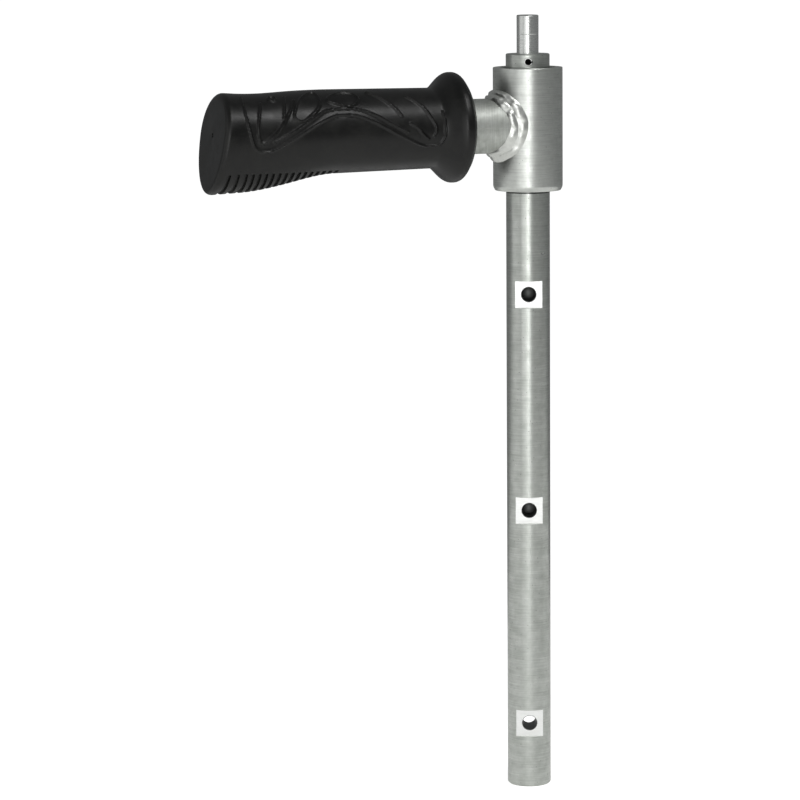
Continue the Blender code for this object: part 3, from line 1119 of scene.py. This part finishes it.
        # two passes lie side by side, and share the fillet at the split
        split = 0.52 + 0.07 * np.sin(4 * angle + 0.5)
        calm = 0.75 - 0.25 * np.cos(angle)
        table = []
        for row in range(rows + 1):
            t = row / rows
            first = np.clip(t / split, 0, 1)
            second = np.clip((t - split) / (1 - split), 0, 1)
            crown = np.sin(math.pi * first) + 0.9 * np.sin(math.pi * second)
            share = np.where(t < split, first, second)
            lag = np.where(t < split, 0.0, 2.0)
            phase = self.ripples * angle + 1.6 * np.sin(math.pi * share) + lag
            lumps = 1 + 0.30 * np.sin(9 * angle + 4 * t) + 0.24 * np.sin(17 * angle - 3 * t + 1.1)
            folds = self.ripple * calm**2 * (0.5 - 0.5 * np.cos(phase))
            lift = crown * calm * (self.pass_height * lumps + folds)
            table.append(foot + (tip - foot) * t + outward * lift[:, None])
        table.append(np.column_stack([round_stub, skin]))
        return np.array(table)

    def build_weld(self, metal: Material) -> None:
        """Lay the fillet weld round the stub.

        Args:
            metal: Its finish.
        """
        weld = grid_piece("fillet_weld", self.weld_points(), wrap_rows=True)
        place(weld, self.grip_frame())
        hand_over(weld, Body.HEAD, "weld_metal", "weld_bead", metal)

    def build(self, plate: Material, tube: Material, metal: Material) -> None:
        """Make the head's three steel pieces.

        Args:
            plate: Finish of the sleeve.
            tube: Finish of the stub tube.
            metal: Finish of the weld.
        """
        self.build_sleeve(plate)
        self.build_stub(tube)
        self.build_weld(metal)


@dataclass
class Relief:
    """The raised lines moulded on the grip: a double wave with plain leaves above it.

    Points are (distance along the stub, height above the front line) in millimetres.
    """

    height: float = 0.75 * MM
    half_width: float = 0.85 * MM
    spacing: float = 0.25
    strokes: tuple = (
        # the wave's lower line, from one end of the barrel to the other
        (
            (141, 22), (142, 14.5), (141.5, 8), (140.5, 3), (139.5, -1), (137.5, -4), (133.5, -5.2),
            (128.5, -4.6), (119.5, -1), (110, 4), (100.5, 8), (95, 8.4), (88.5, 7.4), (79.5, 3.6),
            (70, -1.5), (60, -6.3), (55, -7.2), (50.5, -6.2), (48.5, -3.4), (48, 0), (48.2, 4), (48.8, 9),
        ),
        # its upper line, over the crest
        (
            (129, -2), (124, -0.3), (119, 2.2), (114.8, 4.6), (109.8, 7.6), (104.5, 10.4), (99.5, 11.4),
            (94, 11.6), (88, 10.6), (83.5, 9), (79, 6.8), (74.5, 4), (70, 1.8), (66, -0.2),
        ),
        # the first leaf and its vein
        (
            (133, 17), (135.5, 9), (136.5, 3), (136, -1), (134.3, -2.3), (130.5, -0.6), (127, 2.4),
            (124, 6.4), (120.6, 11.6), (117.5, 18),
        ),
        ((121, 21), (122.8, 13.6), (124.2, 7.6)),
        # three free strokes
        ((82, 22), (78, 18.6), (74.5, 15), (72, 12), (70, 9.4), (68.6, 7.2)),
        ((64, 18), (60.6, 14.6), (57.2, 10.6), (55, 6.6), (53, 3.2), (52.3, 0), (53.6, -2.6)),
        ((64.6, 3.6), (61.2, 1.6), (59, -1.2), (55.8, -4)),
    )
    loops: tuple = (
        (
            (118.8, 7.5), (118.6, 11), (116.4, 15.4), (112.8, 19.8), (107.5, 23), (105.6, 20), (106, 15.2),
            (107.4, 12), (111, 8.8), (115.6, 6.2),
        ),
        (
            (101.8, 17.6), (97.2, 21), (92, 22), (88.4, 20.2), (87.2, 16.8), (89.6, 13.8), (94, 13),
            (100.2, 15),
        ),
    )
    ring: tuple = (127, 20, 1.7)

    def smooth_line(self, points: tuple, closed: bool) -> np.ndarray:
        """Run a smooth curve through points.

        Args:
            points: The points it passes.
            closed: True for a loop.

        Returns:
            Close-set points along it.
        """
        knots = np.array(points, float)
        if closed:
            knots = np.concatenate([knots[-1:], knots, knots[:2]])
        else:
            knots = np.concatenate([2 * knots[:1] - knots[1:2], knots, 2 * knots[-1:] - knots[-2:-1]])
        made = []
        for p0, p1, p2, p3 in zip(knots, knots[1:], knots[2:], knots[3:]):
            count = max(4, int(np.linalg.norm(p2 - p1) / self.spacing))
            t = (np.arange(count) / count)[:, None]
            cubic = (3 * p1 - p0 - 3 * p2 + p3) * t**3 + (2 * p0 - 5 * p1 + 4 * p2 - p3) * t**2
            made.append((cubic + (p2 - p0) * t + 2 * p1) / 2)
        return np.concatenate(made)

    def all_lines(self) -> np.ndarray:
        """Every point of every raised line, in metres.

        Returns:
            Points by 2: distance along the stub, height above the front line.
        """
        lines = [self.smooth_line(loop, True) for loop in self.loops]
        lines += [self.smooth_line(stroke, False) for stroke in self.strokes]
        turn = np.arange(48) * math.tau / 48
        centre_s, centre_a, radius = self.ring
        circle = np.stack([centre_s + radius * np.cos(turn), centre_a + radius * np.sin(turn)], axis=1)
        return np.concatenate(lines + [circle]) * MM

    def lift(self, distance: np.ndarray, climb: np.ndarray) -> np.ndarray:
        """Height of the relief at points of the skin.

        Args:
            distance: Distances along the stub.
            climb: Heights round the skin above the front line.

        Returns:
            How far each point stands out.
        """
        spots = self.all_lines()
        tree = KDTree(len(spots))
        for index, (s, a) in enumerate(spots):
            tree.insert((s, a, 0.0), index)
        tree.balance()
        flat_s, flat_a = distance.ravel(), climb.ravel()
        gaps = np.array([tree.find((s, a, 0.0))[2] for s, a in zip(flat_s, flat_a)])
        t = np.clip(gaps / self.half_width, 0, 1)
        return (self.height * (1 - t**2) ** 2).reshape(distance.shape)


@dataclass
class Grip:
    """The moulded rubber grip: flange, barrel, palm swell, ribs and relief."""

    start: float = 33.4 * MM
    end: float = 151.7 * MM
    radius: float = 18.84 * MM
    root_radius: float = 18.2 * MM
    taper: tuple[float, float] = (50.0 * MM, 100.0 * MM)
    flange_radius: float = 24.97 * MM
    flange_edge: float = 4.3 * MM
    flange_round: float = 7.2 * MM
    flange_flat_end: float = 38.7 * MM
    fillet_end: float = 49.0 * MM
    lip_groove: float = 35.0 * MM
    lip_groove_width: float = 0.55 * MM
    lip_groove_depth: float = 0.5 * MM
    palm_start: float = 95.0 * MM
    palm_end: float = 139.0 * MM
    palm_drop: float = 7.85 * MM
    neck_centre: float = 133.0 * MM
    neck_spread: float = 16.0 * MM
    neck_depth: float = 1.0 * MM
    end_edge: float = 2.6 * MM
    end_slope: float = 0.15
    end_slope_start: float = 139.0 * MM
    bore_radius: float = 12.75 * MM
    bore_rows: tuple = (147, 120, 95, 70, 55, 45, 38, 34.2)
    bore_edge: float = 0.6 * MM
    face_shares: tuple[float, float] = (0.35, 0.7)
    end_shares: tuple = (0.93, 0.8, 0.6, 0.4, 0.2, 0.1)
    relief_span: tuple[float, float] = (46.5 * MM, 146 * MM)
    vent_radius: float = 1.0 * MM
    vent_rows: tuple = ((0.9, 0.4), (0.85, 3))
    rib_first: float = 95.2 * MM
    rib_pitch: float = 3.2 * MM
    rib_count: int = 17
    rib_depth: float = 1.1 * MM
    rib_top: float = 17.1 * MM
    slot_rows: tuple = (0.0, 0.18, 0.56, 0.95, 1.34, 1.72, 1.9, 2.33, 2.77)
    slot_floor: tuple[float, float] = (0.17 * MM, 1.73 * MM)
    slot_end: float = 1.9 * MM
    columns: int = 280
    step: float = 0.42 * MM
    relief: Relief = field(default_factory=Relief)

    def outline_radius(self, distance: float) -> float:
        """Radius at a distance along the stub, before the palm swell.

        Args:
            distance: Distance along the stub.

        Returns:
            The radius there.
        """
        if distance < self.start + self.flange_edge:
            drop = (self.start + self.flange_edge - distance) / self.flange_edge
            return self.flange_radius - self.flange_round * (1 - math.sqrt(max(0.0, 1 - drop**2)))
        share = min(1.0, max(0.0, (distance - self.taper[0]) / (self.taper[1] - self.taper[0])))
        barrel = self.root_radius + (self.radius - self.root_radius) * share
        if distance < self.fillet_end:
            fall = float(ease(distance, self.flange_flat_end, self.fillet_end))
            return self.flange_radius + (barrel - self.flange_radius) * fall
        waist = math.exp(-(((distance - self.neck_centre) / self.neck_spread) ** 2))
        radius = barrel - self.neck_depth * waist
        if distance > self.end - self.end_edge:
            rise = (distance - (self.end - self.end_edge)) / self.end_edge
            radius -= self.end_edge * (1 - math.sqrt(max(0.0, 1 - rise**2)))
        return radius

    def section(self, distance: float, angle: np.ndarray) -> np.ndarray:
        """One ring of the outer skin.

        Args:
            distance: Distance along the stub.
            angle: Angles about it, 0 pointing down.

        Returns:
            Points by 3 in the stub's frame.
        """
        radius = self.outline_radius(distance)
        palm = self.palm_drop * float(ease(distance, self.palm_start, self.palm_end))
        slope = self.end_slope * float(ease(distance, self.end_slope_start, self.end))
        down = radius * np.cos(angle)
        down = np.where(down > 0, down * (radius + palm) / radius, down)
        front = radius * np.sin(angle)
        return np.stack([down, front, distance + slope * down], axis=1)

    def stations(self) -> np.ndarray:
        """Distances of the outer rings, close at the edges and even on the barrel.

        Returns:
            The distances, in order.
        """
        quarter = np.arange(17) / 16 * math.pi / 2
        edge = self.start + self.flange_edge * (1 - np.cos(quarter))
        last = self.end - self.end_edge
        plain = np.arange(edge[-1] + self.step, self.rib_first - self.step / 2, self.step)
        pitches = self.rib_first + np.arange(self.rib_count) * self.rib_pitch
        ribs = (pitches[:, None] + np.array(self.slot_rows)[None] * MM).ravel()
        rounding = last + self.end_edge * np.sin(quarter[::2])
        return np.concatenate([edge, plain, ribs[ribs < last - self.step / 2], rounding])

    def round_row(self, radius: float, distance: float, angle: np.ndarray) -> np.ndarray:
        """A plain round ring."""
        flat = np.full_like(angle, distance)
        return np.stack([radius * np.cos(angle), radius * np.sin(angle), flat], axis=1)

    def skin(self) -> np.ndarray:
        """All rings, from deep in the bore, over the outside, to the vent's floor.

        Returns:
            Rings by columns by 3.
        """
        angle = np.arange(self.columns) * math.tau / self.columns
        face = self.outline_radius(self.start)
        rows = [self.round_row(self.bore_radius, row * MM, angle) for row in self.bore_rows]
        mouth = self.bore_radius + self.bore_edge
        rows.append(self.round_row(mouth, self.start, angle))
        for share in self.face_shares:
            rows.append(self.round_row(mouth + (face - mouth) * share, self.start, angle))
        stations = self.stations()
        outer = np.array([self.section(station, angle) for station in stations])
        rows += list(self.dress_skin(outer, stations, angle))
        rim = rows[-1]
        vent = self.round_row(self.vent_radius, self.end, angle)
        for share in self.end_shares:
            rows.append(vent + (rim - vent) * share)
        rows.append(vent)
        for share, deep in self.vent_rows:
            rows.append(self.round_row(self.vent_radius * share, self.end - deep * MM, angle))
        return np.array(rows)

    def dress_skin(self, outer: np.ndarray, stations: np.ndarray, angle: np.ndarray) -> np.ndarray:
        """Add the lip's groove, the relief and the ribs to the outer rings.

        Args:
            outer: Rings by columns by 3.
            stations: Their distances.
            angle: The columns' angles.

        Returns:
            The rings with that detail.
        """
        distance = np.repeat(stations[:, None], len(angle), axis=1)
        folded = np.minimum(angle, math.tau - angle)
        climb = np.repeat(((folded - math.pi / 2) * self.radius)[None, :], len(stations), axis=0)
        lift = np.zeros_like(distance)
        first, last = self.relief_span
        on_barrel = (stations > first) & (stations < last)
        lift[on_barrel] = self.relief.lift(distance[on_barrel], climb[on_barrel])
        off_lip = (distance - self.lip_groove) / self.lip_groove_width
        lift -= self.lip_groove_depth * np.exp(-(off_lip**2))
        along = np.mod(distance - self.rib_first, self.rib_pitch)
        low, high = self.slot_floor
        slot = np.where(along < high + 0.01 * MM, ease(along, 0, low), 1 - ease(along, high, self.slot_end))
        in_ribs = distance > self.rib_first - 0.01 * MM
        in_ribs &= distance < self.rib_first + self.rib_count * self.rib_pitch
        under = ease(outer[..., 0], self.rib_top - 0.3 * MM, self.rib_top + 0.3 * MM)
        lift -= self.rib_depth * slot * under * in_ribs
        direction = np.stack([np.cos(angle), np.sin(angle), np.zeros_like(angle)], axis=1)
        return outer + direction[None] * lift[..., None]

    def build(self, place_in: Matrix, rubber: Material) -> None:
        """Make the grip.

        Args:
            place_in: The stub's frame.
            rubber: Its finish.
        """
        grip = grid_piece("moulded_grip", self.skin())
        place(grip, place_in)
        hand_over(grip, Body.HEAD, "black_rubber", "rubber_grip", rubber)


# ------------------------------------------------------------------------ stage


@dataclass
class Stage:
    """Pale floor that sweeps up behind, soft lights and the camera."""

    front: float = -4.0
    back: float = 3.2
    half_width: float = 5.0
    wall: float = 3.0
    bend: float = 1.2
    card_size: tuple[float, float] = (2.4, 1.4)
    card_centre: Point = (0.0, -0.35, -0.0004)
    camera_place: Point = (-0.0498, -1.6782, 0.4168)
    tilt: float = math.radians(8.01)
    yaw: float = math.radians(0.32)
    roll: float = math.radians(0.42)
    lens: float = 165.5

    def paper(self, name: str, code: str, glow: float) -> tuple[Material, Tree, Node]:
        """White paper that glows a little, with its node tree and its shader.

        Args:
            name: Its name.
            code: Its colour.
            glow: Strength of its own light.

        Returns:
            The material, its node tree and its shader.
        """
        made, tree, shader = new_material(name)
        outside = {
            "Base Color": linear(code),
            "Roughness": 0.9,
            "Emission Color": linear("#FFFFFF"),
            "Emission Strength": glow,
        }
        set_inputs(tree, shader, outside)
        return made, tree, shader

    def floor_finish(self) -> Material:
        """Paper lit evenly, and seen through from underneath.

        Returns:
            The material.
        """
        made, tree, shader = self.paper("white_paper", "#F4F4F2", 0.80)
        set_inputs(tree, shader, {"Specular IOR Level": 0.0})
        behind = add_node(tree, "NewGeometry", out="Backfacing")
        clear = add_node(tree, "BsdfTransparent")
        mixed = add_node(tree, "MixShader", {0: behind, 1: shader.outputs[0], 2: clear})
        set_inputs(tree, tree.nodes["Material Output"], {"Surface": mixed})
        return made

    def build_floor(self) -> None:
        """Lay the floor and sweep it up into a wall on every side."""
        size = (2 * self.half_width, self.back - self.front)
        floor = sheet("paper_sweep", size, (0.0, (self.back + self.front) / 2, 0.0))
        bpy.ops.object.mode_set(mode="EDIT")
        bpy.ops.mesh.select_mode(type="EDGE")
        bpy.ops.mesh.select_all(action="SELECT")
        bpy.ops.mesh.extrude_edges_move(TRANSFORM_OT_translate={"value": (0, 0, self.wall)})
        bpy.ops.mesh.select_all(action="SELECT")
        bpy.ops.mesh.normals_make_consistent(inside=False)
        bpy.ops.object.mode_set(mode="OBJECT")
        if floor.data.polygons[0].normal.z < 0:
            floor.data.flip_normals()
        bend = floor.modifiers.new("sweep", "BEVEL")
        bend.width = self.bend
        bend.segments = 24
        bend.limit_method = "ANGLE"
        select_only(floor)
        bpy.ops.object.modifier_apply(modifier=bend.name)
        floor.data.shade_smooth()
        coat(floor, self.floor_finish())
        floor.visible_glossy = False
        floor.visible_diffuse = False
        floor.visible_shadow = False
        self.build_card()

    def build_card(self) -> None:
        """Lay a white card under the handle, which lights it from below."""
        card = sheet("bounce_card", self.card_size, self.card_centre)
        coat(card, self.paper("white_card", "#E8E8E6", 0.35)[0])
        card.visible_camera = False
        card.visible_shadow = False

    def add_light(
        self, name: str, spot: Point, aim: Point, size: tuple[float, float], power: float
    ) -> None:
        """Hang one soft box.

        Args:
            name: Its name.
            spot: Where it hangs.
            aim: What it points at.
            size: Its width and height.
            power: Its power in watts.
        """
        data = bpy.data.lights.new(name, "AREA")
        data.shape = "RECTANGLE"
        data.size, data.size_y = size
        data.energy = power
        lamp = bpy.data.objects.new(name, data)
        lamp.visible_camera = False
        bpy.context.scene.collection.objects.link(lamp)
        lamp.location = spot
        lamp.rotation_euler = (Vector(aim) - Vector(spot)).to_track_quat("-Z", "Y").to_euler()

    def build_lights(self) -> None:
        """Set a tall strip by the camera, two wide boxes at the left, a high one and a dim room."""
        centre = (0.0, 0.0, 0.2)
        self.add_light("key_strip", (0.04, -2.3, 0.35), (0.0, 0.0, 0.2), (0.5, 1.7), 8.6)
        self.add_light("broad_panel", (-0.75, -2.05, 0.35), centre, (1.3, 1.7), 6.6)
        self.add_light("left_box", (-1.9, -0.7, 0.5), centre, (1.8, 2.0), 6.0)
        self.add_light("high_box", (0.55, -0.75, 1.5), (-0.08, 0.0, 0.3), (0.6, 0.4), 7.0)
        world = bpy.data.worlds.new("studio_room")
        bpy.context.scene.world = world
        world.use_nodes = True
        tree = world.node_tree
        set_inputs(tree, tree.nodes["Background"], {"Color": linear("#DADCDD"), "Strength": 0.27})

    def build_camera(self) -> None:
        """Place the camera where the handle is looked at from, a little above it."""
        data = bpy.data.cameras.new("view")
        data.lens = self.lens
        data.clip_start, data.clip_end = 0.05, 50.0
        camera = bpy.data.objects.new("view", data)
        bpy.context.scene.collection.objects.link(camera)
        turn = Matrix.Rotation(self.yaw, 4, "Z") @ Matrix.Rotation(math.pi / 2 - self.tilt, 4, "X")
        turn = turn @ Matrix.Rotation(-self.roll, 4, "Z")
        camera.matrix_world = Matrix.Translation(self.camera_place) @ turn
        bpy.context.scene.camera = camera

    def build(self) -> None:
        """Make the floor, the lights and the camera."""
        self.build_floor()
        self.build_lights()
        self.build_camera()
        bpy.context.scene.view_settings.view_transform = "Standard"


def corners(bounds: tuple[Vector, Vector]) -> list[list[float]]:
    """Lowest and highest corner as plain numbers."""
    return [list(bounds[0]), list(bounds[1])]


def main() -> None:
    """Build every piece in order."""
    logging.basicConfig(level=logging.INFO, format="%(message)s")
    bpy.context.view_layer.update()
    head = Head()
    spring = CutSteel("blackened_spring_steel", "#2A2A2C", 0.42, 0.5).material()
    bare = CutSteel("milled_bare_steel", "#F4F5F3", 0.38, 0.3, (0.06, 1.0, 1.0)).material()
    # drilled walls: bare steel, darkened to paint shade into the holes
    bore = CutSteel("drilled_wall_painted_shade", "#6E706E", 0.45, 0.3, (1.0, 0.1, 1.0)).material()
    round_marks = (0.03, 0.03, 1.0)
    turned_steel = CutSteel("fine_turned_steel", "#E6E8E5", 0.28, 0.25, round_marks, 0.0015).material()
    washer_steel = CutSteel("ground_steel", "#B5B5B3", 0.35, 0.4).material()
    weld_metal = CutSteel("plated_weld", "#DFE1DC", 0.34, 1.4, depth_mm=0.03).material()
    # centre of the painted shade round the weld, on the sleeve's skin
    weld_shade_centre = tuple(head.outward() * head.hub_radius + Vector((0, 0, head.stub_height)))
    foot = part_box("hub_sleeve")[0].z
    # painted shade: a dark band on the bar just under the sleeve's foot
    painted_shade_band = (foot - 1.1 * MM, foot - 0.45 * MM)
    Arm().build(ZincPlate("arm_zinc_plate", painted_shade_band=painted_shade_band).material(), bare, bore)
    bright_spring = CutSteel("bright_spring_steel", "#BFC1BE", 0.34, 0.5).material()
    # painted shade for the pin's bore and hole: dull and pebbled as the nylon is, only darker
    painted_shade = MouldedNylon("painted_bore_shade", "#080808", 0.85).material()
    Spigot().build(turned_steel, bright_spring, painted_shade)
    for end in End:
        nylon = MouldedNylon(f"{end.value}_liner_nylon").material()
        BearingStack(end).build(nylon, washer_steel, spring)
    sleeve_plate = ZincPlate("sleeve_zinc_plate", "#DEE1DC", "#CFD2CD", 0.36, weld_shade_centre=weld_shade_centre).material()
    tube_turn = (0.0, math.pi / 2, head.angle)
    tube_plate = ZincPlate("tube_zinc_plate", "#CDD0CB", "#BBBEB8", 0.56, turn=tube_turn).material()
    head.build(sleeve_plate, tube_plate, weld_metal)
    Grip().build(head.grip_frame(), MouldedRubber("black_moulded_rubber").material())
    Stage().build()


if __name__ == "__main__":
    main()
